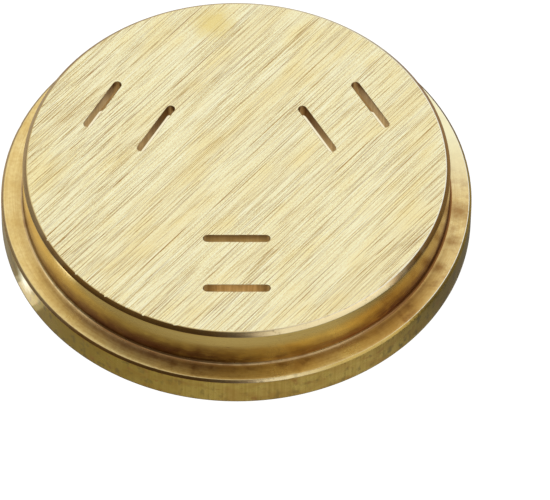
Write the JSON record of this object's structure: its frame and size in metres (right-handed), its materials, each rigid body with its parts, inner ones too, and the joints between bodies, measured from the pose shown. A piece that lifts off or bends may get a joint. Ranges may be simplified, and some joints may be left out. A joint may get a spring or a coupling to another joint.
{
  "type": "pasta extrusion die",
  "caption": "Round flanged brass die for a pasta extruder: dough enters wide feed bores on the flange side and leaves the raised face through narrow round-ended slots as flat noodles.",
  "frame": {"origin": "centre of the inlet face, on the die's axis", "axes": "+Z along the axis, from the inlet face to the outlet face; -Y towards the first pair of slots"},
  "size_m": [0.057, 0.057, 0.0095],
  "materials": {
    "brass": "brushed outlet face, turned sides with brown tarnish"
  },
  "bodies": {
    "root": {"die": "brass"}
  },
  "joints": []
}
